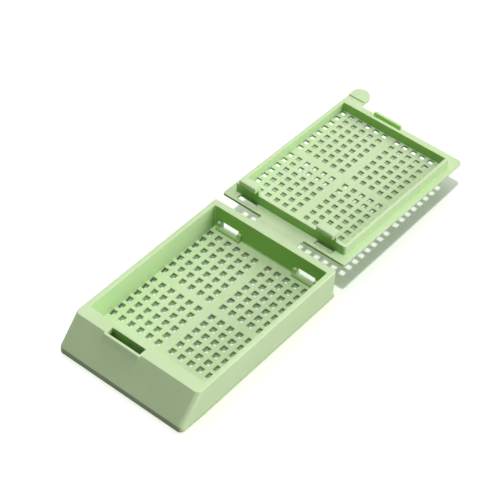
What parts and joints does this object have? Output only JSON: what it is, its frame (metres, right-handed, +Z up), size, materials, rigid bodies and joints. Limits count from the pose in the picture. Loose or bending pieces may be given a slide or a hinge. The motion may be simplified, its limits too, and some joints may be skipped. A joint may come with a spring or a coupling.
{
  "type": "tissue cassette",
  "caption": "Shallow perforated tray with a slanted front and a perforated lid on a living hinge, lid folded back, with rear hooks, a front latch and a finger tab.",
  "frame": {"origin": "on the surface that the tray stands on, straight below the middle of the hinge's fold line", "axes": "+Z up, +Y from the tray toward the open lid, +X along the fold line to the right as seen from the slanted front"},
  "size_m": [0.0286, 0.0878, 0.0108],
  "materials": {
    "base": "satin moulded acetal, pale green",
    "lid": "satin moulded acetal, pale green"
  },
  "bodies": {
    "base": {"base": "base"},
    "lid": {"lid": "lid"}
  },
  "joints": [
    {"name": "lid_hinge", "type": "hinge", "parent": "base", "child": "lid", "pos_m": [0, 0, 0.00665], "axis": [1, 0, 0], "range_deg": [0, 181.4]}
  ]
}
